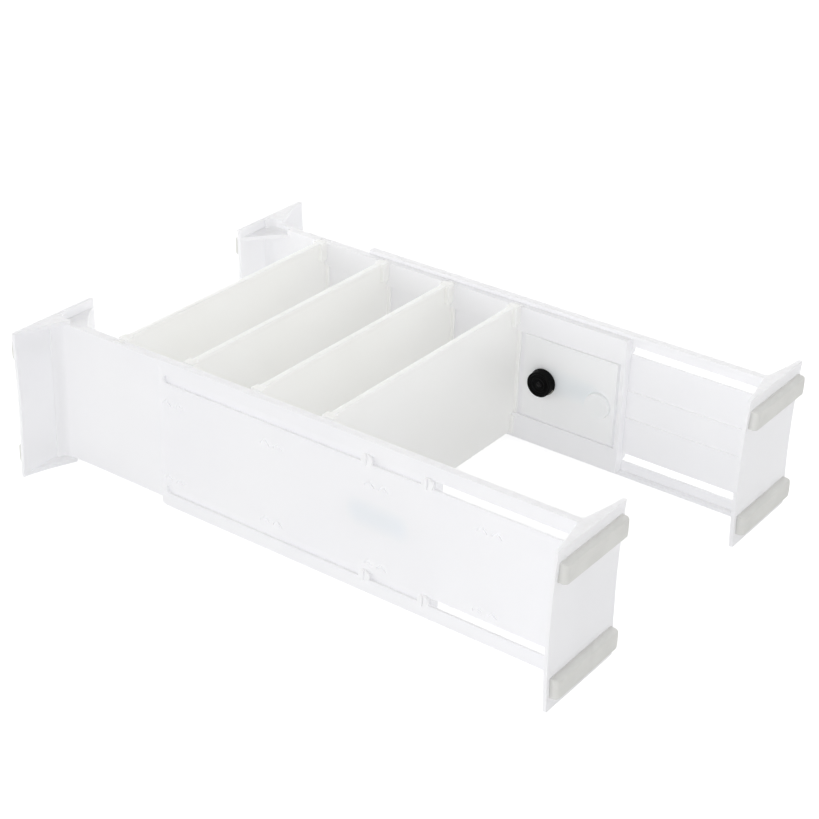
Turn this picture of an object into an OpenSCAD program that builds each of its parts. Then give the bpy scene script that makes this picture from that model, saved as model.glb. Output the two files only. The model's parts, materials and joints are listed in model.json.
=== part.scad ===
// Expanding drawer organizer insert.
// Two long dividers telescope to grip the drawer walls, and four lift-out cross
// dividers join them. X runs along the long dividers, Y from the front divider to
// the rear one, +Z is up, and the origin is the centre of the base.

/* [Overall size] */
// Height of the long dividers
height = 100; // [96:1:104]
// Distance between the outer corners of the end plates, as extended here
plate_span = 391.3; // [386:0.1:400]
// Distance between the centre lines of the two long dividers
divider_spacing = 208.8; // [180:0.1:260]

/* [End plates] */
// Width of an end plate across the divider
plate_width = 67.6; // [60:0.1:76]
// Wall thickness of an end plate
plate_thickness = 2.5; // [2:0.1:3]
// How far the middle of an end plate is bowed inwards
plate_bow = 1.6; // [0.8:0.1:2]
// Thickness of the webs at the top and bottom of an end plate
web_thickness = 2.6; // [2:0.1:3]
// Length of the webs of the slotted panel's plate
slotted_web_reach = 8; // [6:0.5:10]
// Length of the outer webs of the sliding panel's plate
sliding_web_reach = 14; // [12:0.5:15]
// Length of the inner webs of the sliding panel's plate
inner_web_reach = 22; // [18:0.5:24]
// How far the inner webs lie below the top of the sliding panel's plate
inner_web_drop = 6; // [4:0.5:8]
// Radius of the fillets between a panel and its plate
plate_fillet = 6; // [3:0.5:8]

/* [Slotted panel] */
// Length of the slotted panel, with its end plate
slotted_length = 301.5; // [296:0.5:306]
// Wall thickness of the slotted panel
slotted_wall = 1.8; // [1.7:0.1:1.9]
// Depth of the rails along its top and bottom edges
rail_depth = 5.2; // [4.5:0.1:5.3]
// Thickness of those rails
rail_thickness = 2.6; // [2:0.1:2.6]
// Width of the thumb bevel at its free end
bevel_width = 4.4; // [3:0.1:4.8]
// Depth of the chevron-shaped pockets on its outer face
pocket_depth = 0.8; // [0.4:0.1:1]
// Distance from each edge to the middle of a guide slot
slot_inset = 12; // [11.5:0.1:12.5]
// Height of a guide slot
slot_height = 5.5; // [5.3:0.1:6]

/* [Sliding panel] */
// Length of the sliding panel, with its end plate
sliding_length = 292.5; // [291:0.5:294]
// Wall thickness of the sliding panel
sliding_wall = 1.5; // [1.4:0.1:1.6]
// Height of the bands along its inner face
inner_band = 17; // [15:0.5:17.5]
// Thickness of those bands
band_wall = 1.5; // [1.4:0.1:1.6]
// Thickness of the flanges along its edges
flange_thickness = 2; // [1.6:0.1:2.2]
// Thickness of the wall that closes its free end
end_wall = 3; // [2.5:0.1:3.2]

/* [Cross dividers] */
// Place of the first cross divider along X
first_station = -142; // [-144:0.5:-138]
// Distance between cross dividers
station_pitch = 52.4; // [50:0.1:53]
// Thickness of a cross divider
divider_wall = 2; // [1.6:0.1:2.2]
// Width of the rim along its top edge
rim_width = 4; // [3:0.1:5]
// Height of that rim
rim_height = 2.5; // [1.5:0.1:3]

/* [Lock] */
// Place of the lock knob along X
knob_x = 39; // [38.5:0.1:39.5]
// Radius of the lock knob
knob_radius = 8.6; // [8:0.1:10]
// Height of the lock knob
knob_height = 6.1; // [5:0.1:8]
// Place of the release button along X
button_x = 80; // [79.8:0.1:80]
// Radius of the release button
button_radius = 8.6; // [8:0.1:9.5]
// How far the middle of the release button lies below the knob's axis
button_drop = 3.6; // [0:0.1:4]

/* [Grip pads] */
// How far a grip pad stands out from its plate
grip_thickness = 5; // [3:0.1:6]
// Height of a grip pad
grip_height = 12; // [10:0.5:14]
// Distance from the plate's edge to the nearer side of a grip pad
grip_inset = 8; // [6:0.5:10]
// Distance from the plate's side to the end of a grip pad
grip_end_inset = 2.8; // [2:0.1:6]

/* [Hidden] */
$fn = 64;

// Colours
panel_white = [0.94, 0.94, 0.95];
divider_white = [0.92, 0.92, 0.92];
grip_grey = [0.82, 0.82, 0.8];
knob_black = [0.06, 0.06, 0.07];
steel_grey = [0.6, 0.6, 0.62];
brake_grey = [0.45, 0.46, 0.48];

// One long divider is drawn in its own frame: X along it, Y is the depth from its
// outer face towards the inside of the organizer, and Z is up from its base.
mid_z = height / 2;
half_span = plate_span / 2;
outer_face_offset = 2.7;
outer_face_y = divider_spacing / 2 + outer_face_offset;
plate_y = outer_face_offset - plate_width / 2;
plate_far_y = plate_y + plate_width;
overlap = 1;
clearance = 0.4;

// The bow of an end plate is an arc through its top, middle and bottom
bow_radius = (plate_bow * plate_bow + mid_z * mid_z) / (2 * plate_bow);
web_curve = 1.3;
web_steps = 6;

// Slotted panel
slotted_left = half_span - slotted_length;
slot_left = slotted_left + 5;
slot_right = half_span - 11.2;
slot_levels = [slot_inset, height - slot_inset];
bevel_depth = 1.3;
bevel_top = height - 4.5;
track_half_gap = 9;
track_rib = 1.2;
track_rib_height = 0.9;
chevron_levels = [23.4, 75.2];
chevron_pitch = 9.7;
chevron_half_width = 3.4;
chevron_rise = 3.4;
chevron_stroke = 1.6;
chevron_first = slotted_left + 12;
chevron_stations = [for (i = [0 : 3]) chevron_first + 76 * i];

// Sliding panel
sliding_face = 3;
sliding_depth = 9.3;
guide_band_half_height = 4.5;
sliding_inner = sliding_face + sliding_wall;
sliding_low = rail_thickness + clearance;
sliding_high = height - sliding_low;
sliding_right = sliding_length - half_span;
flange_left = inner_web_reach - half_span;
neck_right = sliding_web_reach - half_span - 2;
stud_places = [52, 93.5];
stud_radius = 2.4;
stud_head_radius = 4.1;
stud_head_height = 1.4;
stud_slit = 1.1;

// Cross dividers
stations = [for (i = [0 : 3]) first_station + station_pitch * i];
inner_face_y = outer_face_y - sliding_depth;
divider_end_y = inner_face_y - clearance;
divider_high = height - 2;
key_wall = 1.6;
key_half_width = 3.5;
key_inner_y = inner_face_y + band_wall + clearance;
key_outer_y = key_inner_y + key_wall;
divider_low = sliding_low + flange_thickness + clearance;
tab_half_width = 4;
tab_depths = [1.2, 6];
tab_height = 13;

// Lock
cover_left = 23;
cover_right = 91.8;
cover_low = sliding_low + inner_band + 1;
cover_high = height - cover_low;
cover_wall = 1.6;
cover_inner = 6.6;
cover_face = 8.2;
cover_raised_face = 9.1;
cover_step_x = 38;
window_left = 32.5;
window_right = 66.5;
window_half_height = track_half_gap + 0.2;
shoe_margin = 0.5;
shoe_flange = 1.5;
shoe_near = 4.3;
shoe_far = 7.9;
shoe_tip = slotted_wall + 0.3;
shoe_shoulder = sliding_inner + 0.3;
shoe_back = cover_inner - 0.3;
cam_radius = 4.82;
cam_offset = 0.82;
spindle_radius = 3;
spindle_bore = 3.06;
spindle_stub = 2.5;
knob_back = cover_raised_face + clearance;
knob_flange_radius = knob_radius + 0.6;
knob_flange_height = 1.3;
knob_face = knob_back + knob_height;
screw_head_radius = 1.7;
screw_radius = 1.1;
screw_sink = 0.5;

// Release button
button_z = mid_z - button_drop;
button_ear_radius = button_radius + 1.3;
button_back = 5.4;
button_ear_face = cover_inner - 0.4;
button_face = 11.6;
button_dish_depth = 0.5;
button_stem_radius = 3;
button_stem_end = sliding_inner + 0.4;
button_well_radius = 5.8;
button_well_end = 8.6;
spring_radius = 4.6;
wire_radius = 0.32;
spring_turns = 2.5;
wire_sides = 6;
spring_steps = 50;

// Grip pads
grip_corner = 3.2;

// Places a divider's own frame at the front of the organizer.
module front() {
    translate([0, -outer_face_y, 0]) children();
}

// Places its mirror image at the rear.
module rear() {
    mirror([0, 1, 0]) front() children();
}

// A box given by its lowest and highest corners.
module box(low, high) {
    translate(low) cube(high - low);
}

// A cylinder along the depth axis between two depths.
module depth_cylinder(x, z, r, from, to) {
    translate([x, from, z]) rotate([-90, 0, 0]) cylinder(r = r, h = to - from);
}

// The large cylinder whose surface is the bowed outer face of the right end plate.
module bow_cylinder(r) {
    translate([half_span - plate_bow + bow_radius, plate_y - overlap, mid_z])
        rotate([-90, 0, 0]) cylinder(r = r, h = plate_width + 2 * overlap, $fn = 480);
}

// A right end plate, with its outer corners at half_span.
module end_plate() {
    difference() {
        intersection() {
            box([half_span - plate_thickness - plate_bow, plate_y, 0], [half_span, plate_far_y, height]);
            bow_cylinder(bow_radius + plate_thickness);
        }
        bow_cylinder(bow_radius);
    }
}

// One edge of a web, curving from the neck at the panel out to the plate's corner.
function web_edge(reach, neck_y, corner_y) = [
    for (i = [0 : web_steps])
        let (t = i / web_steps)
        [half_span - reach + (reach - plate_thickness) * (1 - pow(1 - t, web_curve)),
         neck_y + (corner_y - neck_y) * t]
];

// The webs' plan, from the panel between two depths to one or both sides of the plate.
module web_plan(reach, near_depth, far_depth, near_corner, far_corner) {
    inside = half_span - plate_thickness / 2;
    polygon(concat(
        [[inside, near_corner]],
        [for (i = [web_steps : -1 : 0]) web_edge(reach, near_depth, near_corner)[i]],
        web_edge(reach, far_depth, far_corner),
        [[inside, far_corner]]
    ));
}

// A pair of equal webs, one at each end of the height, set in by an amount.
module web_pair(set_in, reach, near_depth, far_depth, near_corner, far_corner) {
    for (z = [set_in, height - set_in - web_thickness])
        translate([0, 0, z]) linear_extrude(web_thickness)
            web_plan(reach, near_depth, far_depth, near_corner, far_corner);
}

// A fillet of the right end plate against one face of the panel, over the full height.
module plate_fillet_strip(face, side) {
    inside = half_span - plate_bow - plate_thickness;
    translate([inside + overlap, face, 0]) linear_extrude(height)
        difference() {
            translate([-plate_fillet - overlap, side > 0 ? -overlap : -plate_fillet])
                square([plate_fillet + overlap, plate_fillet + overlap]);
            translate([-plate_fillet - overlap, side * plate_fillet]) circle(r = plate_fillet);
        }
}

// Two guide slots with round ends.
module guide_slots() {
    for (z = slot_levels) {
        box([slot_left + slot_height / 2, -overlap, z - slot_height / 2],
            [slot_right - slot_height / 2, slotted_wall + overlap, z + slot_height / 2]);
        for (x = [slot_left + slot_height / 2, slot_right - slot_height / 2])
            depth_cylinder(x, z, slot_height / 2, -overlap, slotted_wall + overlap);
    }
}

// A chevron-shaped pocket in the outer face, with its point at a height.
module chevron(x, point_z) {
    translate([x, pocket_depth, point_z - chevron_rise]) rotate([90, 0, 0])
        linear_extrude(pocket_depth + overlap)
            polygon([
                [-chevron_half_width, 0], [0, chevron_rise], [chevron_half_width, 0],
                [chevron_half_width, -chevron_stroke], [0, chevron_rise - chevron_stroke],
                [-chevron_half_width, -chevron_stroke]
            ]);
}

// Pairs of chevron pockets at four stations, in an upper and a lower row.
module chevron_pockets() {
    for (x = chevron_stations, side = [-0.5, 0.5], z = chevron_levels)
        chevron(x + side * chevron_pitch, z);
}

// The wedge cut off the outer face at the free end, which leaves a thumb bevel.
module end_bevel() {
    translate([slotted_left, 0, -overlap]) linear_extrude(bevel_top + overlap)
        polygon([[-overlap, -overlap], [bevel_width, -overlap], [bevel_width, 0],
            [0, bevel_depth], [-overlap, bevel_depth]]);
}

// Outer panel with guide slots, edge rails, a brake track and the right end plate.
module slotted_panel() {
    right = half_span - plate_thickness / 2;
    color(panel_white) difference() {
        union() {
            box([slotted_left, 0, 0], [right - plate_bow, slotted_wall, height]);
            for (z = [0, height - rail_thickness])
                box([slotted_left, 0, z], [right, rail_depth, z + rail_thickness]);
            for (z = [mid_z - track_half_gap - track_rib, mid_z + track_half_gap])
                box([slotted_left + 2, 0, z],
                    [right - plate_bow, slotted_wall + track_rib_height, z + track_rib]);
            plate_fillet_strip(0, -1);
            plate_fillet_strip(slotted_wall, 1);
            web_pair(0, slotted_web_reach, 0, rail_depth, plate_y, plate_far_y);
            end_plate();
        }
        guide_slots();
        chevron_pockets();
        end_bevel();
    }
}

// The notch that a cross divider's end slides down into, for one station.
module divider_notch(x) {
    slit = divider_wall / 2 + clearance;
    head = key_half_width + clearance;
    throat = sliding_depth - band_wall;
    head_depth = outer_face_y - key_outer_y - clearance;
    box([x - slit, throat - overlap, divider_low - clearance], [x + slit, sliding_depth + overlap, height]);
    box([x - head, head_depth, sliding_high - inner_band], [x + head, throat, height]);
}

// Inner panel: a wall with flanged bands, a closed free end and the left end plate.
module sliding_panel() {
    band_face = sliding_depth - band_wall;
    left = plate_thickness / 2 - half_span;
    color(panel_white) difference() {
        union() {
            box([left + plate_bow, sliding_face, sliding_low], [sliding_right, sliding_inner, sliding_high]);
            box([left + plate_bow, sliding_face, 0], [neck_right, sliding_inner, height]);
            for (z = [sliding_low, sliding_high - flange_thickness])
                box([flange_left, sliding_face, z], [sliding_right, sliding_depth, z + flange_thickness]);
            for (z = [sliding_low, sliding_high - inner_band])
                box([flange_left, band_face, z], [sliding_right, sliding_depth, z + inner_band]);
            for (z = slot_levels)
                box([slot_left - 2, slotted_wall + clearance, z - guide_band_half_height],
                    [sliding_right, sliding_inner, z + guide_band_half_height]);
            box([sliding_right - end_wall, sliding_face, sliding_low],
                [sliding_right, sliding_depth, sliding_high]);
            mirror([1, 0, 0]) {
                plate_fillet_strip(sliding_face, -1);
                plate_fillet_strip(sliding_inner, 1);
                web_pair(0, sliding_web_reach, sliding_face, sliding_inner, plate_y, sliding_inner);
                web_pair(inner_web_drop, inner_web_reach + 2, sliding_face, sliding_depth,
                    sliding_face, plate_far_y);
                end_plate();
            }
        }
        for (x = stations) divider_notch(x);
        for (x = stud_places, z = slot_levels)
            depth_cylinder(x, z, stud_radius, sliding_face - overlap, sliding_inner + overlap);
        box([window_left, sliding_face - overlap, mid_z - window_half_height],
            [window_right, sliding_inner + overlap, mid_z + window_half_height]);
        depth_cylinder(button_x, button_z, button_stem_radius + clearance,
            sliding_face - overlap, sliding_inner + overlap);
    }
}

// Four split studs that hold the sliding panel in the guide slots.
module guide_studs() {
    head_back = -0.3;
    head_face = head_back - stud_head_height;
    color(panel_white)
        for (x = stud_places, z = slot_levels)
            difference() {
                union() {
                    depth_cylinder(x, z, stud_radius, head_back - overlap, sliding_inner);
                    depth_cylinder(x, z, stud_head_radius, head_face, head_back);
                }
                box([x - stud_slit / 2, head_face - overlap, z - stud_head_radius - overlap],
                    [x + stud_slit / 2, slotted_wall, z + stud_head_radius + overlap]);
            }
}

// Cover over the lock, with a raised field, the knob's bore and the button's hole.
module lock_cover() {
    color(panel_white) difference() {
        union() {
            box([cover_left, sliding_inner, cover_low], [cover_right, cover_face, cover_high]);
            box([cover_step_x, cover_face - overlap, cover_low], [cover_right, cover_raised_face, cover_high]);
        }
        box([cover_left + cover_wall, sliding_inner - overlap, cover_low + cover_wall],
            [cover_right - cover_wall, cover_inner, cover_high - cover_wall]);
        depth_cylinder(knob_x, mid_z, spindle_bore, cover_inner - overlap, cover_raised_face + overlap);
        depth_cylinder(button_x, button_z, button_radius + clearance,
            cover_inner - overlap, cover_raised_face + overlap);
    }
}

// Round lock knob with a flange, a ring on its face and a sunk seat for its screw.
module lock_knob() {
    ring_radius = 0.55 * knob_radius;
    ring_width = 1;
    ring_depth = 0.5;
    color(knob_black) difference() {
        union() {
            depth_cylinder(knob_x, mid_z, knob_flange_radius, knob_back, knob_back + knob_flange_height);
            depth_cylinder(knob_x, mid_z, knob_radius, knob_back, knob_face);
        }
        difference() {
            depth_cylinder(knob_x, mid_z, ring_radius, knob_face - ring_depth, knob_face + overlap);
            depth_cylinder(knob_x, mid_z, ring_radius - ring_width, knob_face - 2 * ring_depth, knob_face + overlap);
        }
        depth_cylinder(knob_x, mid_z, spindle_stub, knob_back - overlap, knob_back + knob_height / 2);
        depth_cylinder(knob_x, mid_z, screw_radius, knob_back, knob_face);
        depth_cylinder(knob_x, mid_z, screw_head_radius + 0.1, knob_face - 1.6, knob_face + overlap);
    }
}

// Screw in the middle of the knob, with a cross recess.
module knob_screw() {
    head_back = knob_face - 1.6;
    head_face = knob_face - screw_sink;
    recess = 0.5;
    color(steel_grey) difference() {
        union() {
            depth_cylinder(knob_x, mid_z, screw_head_radius, head_back, head_face);
            depth_cylinder(knob_x, mid_z, screw_radius, knob_back + 1, head_back + 0.1);
        }
        for (turn = [0, 90])
            translate([knob_x, head_face - recess, mid_z]) rotate([0, turn, 0])
                box([-screw_head_radius * 0.7, 0, -0.2], [screw_head_radius * 0.7, overlap, 0.2]);
    }
}

// Spindle that turns in the cover and carries the two-lobed cam.
module lock_spindle() {
    color(brake_grey) difference() {
        union() {
            depth_cylinder(knob_x, mid_z, spindle_radius, shoe_back - overlap, knob_back);
            depth_cylinder(knob_x, mid_z, spindle_stub, knob_back - overlap, knob_back + knob_height / 2);
            intersection() {
                depth_cylinder(knob_x, mid_z - cam_offset, cam_radius, shoe_shoulder, shoe_back);
                depth_cylinder(knob_x, mid_z + cam_offset, cam_radius, shoe_shoulder, shoe_back);
            }
        }
        depth_cylinder(knob_x, mid_z, screw_radius, knob_back + 0.9, knob_face);
    }
}

// Brake shoe on one side of the cam: 1 is above it and -1 is below it.
module brake_shoe(side) {
    low = side > 0 ? mid_z + shoe_near : mid_z - shoe_far;
    high = low + shoe_far - shoe_near;
    color(brake_grey) union() {
        box([window_left + shoe_margin, shoe_tip, low], [window_right - shoe_margin, shoe_back, high]);
        box([window_left - shoe_flange, shoe_shoulder, low], [window_right + shoe_flange, shoe_back, high]);
    }
}

// Round push button with a shallow dish, a retaining flange, a spring well and a stem.
module release_button() {
    dish_sphere = (pow(button_radius * 0.8, 2) + pow(button_dish_depth, 2)) / (2 * button_dish_depth);
    color(panel_white) union() {
        difference() {
            union() {
                depth_cylinder(button_x, button_z, button_radius, button_back, button_face);
                depth_cylinder(button_x, button_z, button_ear_radius, button_back, button_ear_face);
            }
            translate([button_x, button_face - button_dish_depth + dish_sphere, button_z])
                sphere(r = dish_sphere, $fn = 180);
            depth_cylinder(button_x, button_z, button_well_radius, button_back - overlap, button_well_end);
        }
        depth_cylinder(button_x, button_z, button_stem_radius, button_stem_end, button_well_end + overlap);
    }
}

// One ring of points round the spring's wire, a share t of the way along the coil.
function wire_ring(t) = [
    for (j = [0 : wire_sides - 1])
        let (
            a = 360 * spring_turns * t,
            b = 360 * j / wire_sides,
            r = spring_radius + wire_radius * cos(b),
            rise = button_well_end - sliding_inner - 2 * wire_radius - 0.2
        )
        [button_x + r * cos(a), sliding_inner + 0.1 + wire_radius + rise * t + wire_radius * sin(b),
         button_z + r * sin(a)]
];

// Coil spring between the sliding panel and the bottom of the button's well.
module button_spring() {
    rings = [for (i = [0 : spring_steps]) each wire_ring(i / spring_steps)];
    last = spring_steps * wire_sides;
    sides = [
        for (i = [0 : spring_steps - 1], j = [0 : wire_sides - 1])
            let (k = (j + 1) % wire_sides, a = i * wire_sides, b = a + wire_sides)
            each [[a + j, b + j, b + k], [a + j, b + k, a + k]]
    ];
    start = [[for (j = [0 : wire_sides - 1]) j]];
    end = [[for (j = [wire_sides - 1 : -1 : 0]) last + j]];
    color(steel_grey) polyhedron(rings, concat(sides, start, end), convexity = 6);
}

// A grip pad on the right end plate, starting at a height.
module grip_pad(low) {
    back = half_span - plate_bow;
    face = half_span + grip_thickness;
    near = plate_y + grip_end_inset;
    far = plate_far_y - grip_end_inset;
    color(grip_grey) intersection() {
        union() {
            box([back, near, low], [face - grip_corner, far, low + grip_height]);
            box([back, near + grip_corner, low], [face, far - grip_corner, low + grip_height]);
            for (y = [near + grip_corner, far - grip_corner])
                translate([face - grip_corner, y, low]) cylinder(r = grip_corner, h = grip_height);
        }
        bow_cylinder(bow_radius);
    }
}

// The lower and upper grip pads, on the right plate or mirrored to the left one.
module right_lower_grip() {
    grip_pad(grip_inset);
}

module right_upper_grip() {
    grip_pad(height - grip_inset - grip_height);
}

module left_lower_grip() {
    mirror([1, 0, 0]) right_lower_grip();
}

module left_upper_grip() {
    mirror([1, 0, 0]) right_upper_grip();
}

// The half of a cross divider's end fitting that keys into one long divider.
module divider_key() {
    wall = divider_wall / 2;
    box([-wall, 0, divider_low], [wall, key_outer_y, sliding_high]);
    box([-key_half_width, key_inner_y, divider_low], [key_half_width, key_outer_y, sliding_high]);
    for (i = [0, 1])
        let (z = i == 0 ? divider_low : divider_high - tab_height)
        box([-tab_half_width, divider_end_y - tab_depths[i], z], [tab_half_width, divider_end_y, z + tab_height]);
}

// Cross divider with a rim along its top and a key at each end.
module cross_divider(index) {
    color(divider_white) translate([stations[index], 0, 0]) union() {
        box([-divider_wall / 2, -divider_end_y, divider_low], [divider_wall / 2, divider_end_y, divider_high]);
        box([-rim_width / 2, -divider_end_y, divider_high - rim_height],
            [rim_width / 2, divider_end_y, divider_high]);
        divider_key();
        mirror([0, 1, 0]) divider_key();
    }
}

front() slotted_panel();  // front_slotted_panel
front() sliding_panel();  // front_sliding_panel
front() guide_studs();  // front_guide_studs
front() lock_cover();  // front_lock_cover
front() lock_knob();  // front_lock_knob
front() knob_screw();  // front_knob_screw
front() lock_spindle();  // front_lock_spindle
front() brake_shoe(1);  // front_upper_brake_shoe
front() brake_shoe(-1);  // front_lower_brake_shoe
front() release_button();  // front_release_button
front() button_spring();  // front_button_spring
front() left_upper_grip();  // front_left_upper_grip
front() left_lower_grip();  // front_left_lower_grip
front() right_upper_grip();  // front_right_upper_grip
front() right_lower_grip();  // front_right_lower_grip
rear() slotted_panel();  // rear_slotted_panel
rear() sliding_panel();  // rear_sliding_panel
rear() guide_studs();  // rear_guide_studs
rear() lock_cover();  // rear_lock_cover
rear() lock_knob();  // rear_lock_knob
rear() knob_screw();  // rear_knob_screw
rear() lock_spindle();  // rear_lock_spindle
rear() brake_shoe(1);  // rear_upper_brake_shoe
rear() brake_shoe(-1);  // rear_lower_brake_shoe
rear() release_button();  // rear_release_button
rear() button_spring();  // rear_button_spring
rear() left_upper_grip();  // rear_left_upper_grip
rear() left_lower_grip();  // rear_left_lower_grip
rear() right_upper_grip();  // rear_right_upper_grip
rear() right_lower_grip();  // rear_right_lower_grip
cross_divider(0);  // cross_divider_1
cross_divider(1);  // cross_divider_2
cross_divider(2);  // cross_divider_3
cross_divider(3);  // cross_divider_4
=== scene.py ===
"""Looks, light and camera for the expanding drawer organizer insert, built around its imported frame."""

import json
import logging
import math
from dataclasses import dataclass, field
from enum import Enum
from typing import Iterable, Sequence

import bpy
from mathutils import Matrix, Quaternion, Vector

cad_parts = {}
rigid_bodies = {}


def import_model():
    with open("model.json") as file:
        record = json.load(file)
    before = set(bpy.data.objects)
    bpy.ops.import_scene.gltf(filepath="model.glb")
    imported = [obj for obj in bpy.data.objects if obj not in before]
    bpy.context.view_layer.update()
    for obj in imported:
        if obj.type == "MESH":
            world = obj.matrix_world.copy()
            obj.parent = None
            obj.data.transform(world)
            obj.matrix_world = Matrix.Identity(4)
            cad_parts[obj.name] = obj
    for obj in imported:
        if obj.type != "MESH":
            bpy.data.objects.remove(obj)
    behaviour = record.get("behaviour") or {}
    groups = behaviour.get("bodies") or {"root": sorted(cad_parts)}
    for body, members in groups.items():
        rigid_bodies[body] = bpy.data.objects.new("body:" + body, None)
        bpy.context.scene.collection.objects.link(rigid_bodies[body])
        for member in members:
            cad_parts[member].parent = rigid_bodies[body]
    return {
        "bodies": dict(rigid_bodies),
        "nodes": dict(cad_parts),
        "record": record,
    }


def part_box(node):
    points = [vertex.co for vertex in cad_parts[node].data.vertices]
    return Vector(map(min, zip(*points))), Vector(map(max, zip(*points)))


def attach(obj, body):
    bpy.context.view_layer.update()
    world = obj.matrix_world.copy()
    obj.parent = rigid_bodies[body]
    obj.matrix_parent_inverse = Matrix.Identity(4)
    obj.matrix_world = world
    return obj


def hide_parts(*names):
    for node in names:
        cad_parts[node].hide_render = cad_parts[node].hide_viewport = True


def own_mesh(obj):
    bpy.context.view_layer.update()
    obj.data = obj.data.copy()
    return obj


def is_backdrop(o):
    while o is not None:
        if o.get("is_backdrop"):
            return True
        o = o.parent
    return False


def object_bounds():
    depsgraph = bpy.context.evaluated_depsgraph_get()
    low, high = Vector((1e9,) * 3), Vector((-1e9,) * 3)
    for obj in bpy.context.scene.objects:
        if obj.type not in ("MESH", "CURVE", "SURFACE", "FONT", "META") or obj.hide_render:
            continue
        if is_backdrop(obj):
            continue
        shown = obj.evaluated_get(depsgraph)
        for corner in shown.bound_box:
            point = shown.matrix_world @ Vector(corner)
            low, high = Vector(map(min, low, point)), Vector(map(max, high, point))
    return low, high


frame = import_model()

LOG = logging.getLogger("drawer_insert")
MM = 0.001
Colour = tuple[float, float, float]
Point = tuple[float, float, float]


class Side(Enum):
    """Which long divider, and the way from its outer face towards the middle along Y."""

    FRONT = 1
    REAR = -1

    @property
    def label(self) -> str:
        """The side's word in node names."""
        return self.name.lower()


class End(Enum):
    """Which end of a long divider, and the way its pads face along X."""

    LEFT = -1
    RIGHT = 1

    @property
    def label(self) -> str:
        """The end's word in node names."""
        return self.name.lower()


class Level(Enum):
    """Upper or lower of a pair of pieces."""

    UPPER = 1
    LOWER = -1

    @property
    def label(self) -> str:
        """The level's word in node names."""
        return self.name.lower()


class Effect(Enum):
    """The shared shader effects, by the names of their node groups."""

    SKIN = "Moulded skin"
    # paler edges: a painted highlight along rims, with some wear
    EDGES = "Edge wear"
    FLOW = "Mould flow"
    # painted shade where a mechanism lies behind a thin wall
    SHOW_THROUGH = "Show through"
    HANDLING = "Handling marks"
    # darker tone on faces that look up: painted shade, with a light dusting
    DUST = "Settled dust"
    GRAIN = "Fine grain"
    TURNING = "Turning marks"


class Sketch:
    """Adds nodes to one shader tree and links them by socket name."""

    def __init__(self, tree: bpy.types.NodeTree) -> None:
        """Starts on an empty tree.

        Args:
            tree: The node tree of a material or a node group.
        """
        self.tree = tree
        self.column = 0

    def add(self, kind: str, **settings: object) -> bpy.types.Node:
        """Adds one node.

        Args:
            kind: The node's Blender type.
            settings: Properties of the node, such as its operation.

        Returns:
            The new node.
        """
        node = self.tree.nodes.new(kind)
        for name, value in settings.items():
            setattr(node, name, value)
        self.column += 1
        node.location = (180 * self.column, -60 * (self.column % 5))
        return node

    def join(self, source: bpy.types.NodeSocket, target: bpy.types.NodeSocket) -> None:
        """Links an output socket to an input socket."""
        self.tree.links.new(source, target)

    def feed(self, node: bpy.types.Node, **inputs: object) -> bpy.types.Node:
        """Sets or links a node's inputs; an underscore in a name stands for a space.

        Args:
            node: The node whose inputs are fed.
            inputs: A socket to link from, or a plain value, for each input.

        Returns:
            The same node.
        """
        for name, value in inputs.items():
            socket = node.inputs[name.replace("_", " ")]
            if isinstance(value, bpy.types.NodeSocket):
                self.join(value, socket)
            else:
                socket.default_value = value
        return node

    def maths(self, operation: str, first: object, second: object = 0.0) -> bpy.types.NodeSocket:
        """A Math node's value.

        Args:
            operation: The node's operation, such as MULTIPLY.
            first: A socket or a number.
            second: A socket or a number.

        Returns:
            The value socket.
        """
        node = self.add("ShaderNodeMath", operation=operation)
        for socket, value in zip(node.inputs, (first, second)):
            if isinstance(value, bpy.types.NodeSocket):
                self.join(value, socket)
            else:
                socket.default_value = value
        return node.outputs[0]

    def remap(self, value: bpy.types.NodeSocket, low: object, high: object, start: float = 0.0,
              stop: float = 1.0) -> bpy.types.NodeSocket:
        """A clamped, smooth map of a value's span onto another.

        Args:
            value: The value to map.
            low: Where the input span begins.
            high: Where the input span ends.
            start: The result at low.
            stop: The result at high.

        Returns:
            The mapped value.
        """
        node = self.add("ShaderNodeMapRange", interpolation_type="SMOOTHSTEP")
        self.feed(node, Value=value, From_Min=low, From_Max=high, To_Min=start, To_Max=stop)
        return node.outputs["Result"]

    def blend(self, share: object, first: object, second: object) -> bpy.types.NodeSocket:
        """A mix of two colours.

        Args:
            share: How much of the second colour shows.
            first: A colour socket or four numbers.
            second: A colour socket or four numbers.

        Returns:
            The mixed colour.
        """
        node = self.add("ShaderNodeMix", data_type="RGBA")
        for index, value in ((0, share), (6, first), (7, second)):
            if isinstance(value, bpy.types.NodeSocket):
                self.join(value, node.inputs[index])
            else:
                node.inputs[index].default_value = value
        return node.outputs[2]

    def noise(self, vector: object, scale: object, detail: float = 2.0) -> bpy.types.NodeSocket:
        """A noise texture's value.

        Args:
            vector: The coordinates.
            scale: Features per metre.
            detail: Octaves of finer noise.

        Returns:
            The value, mostly between 0.3 and 0.7.
        """
        node = self.add("ShaderNodeTexNoise")
        self.feed(node, Vector=vector, Scale=scale, Detail=detail)
        return node.outputs["Fac"]

    def stretched(self, vector: object, scale: Point) -> bpy.types.NodeSocket:
        """Coordinates scaled by different amounts along each axis."""
        node = self.add("ShaderNodeVectorMath", operation="MULTIPLY")
        self.join(vector, node.inputs[0])
        node.inputs[1].default_value = scale
        return node.outputs[0]


def rgba(colour: Colour) -> tuple[float, float, float, float]:
    """A colour with full alpha."""
    return (*colour, 1.0)


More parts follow.
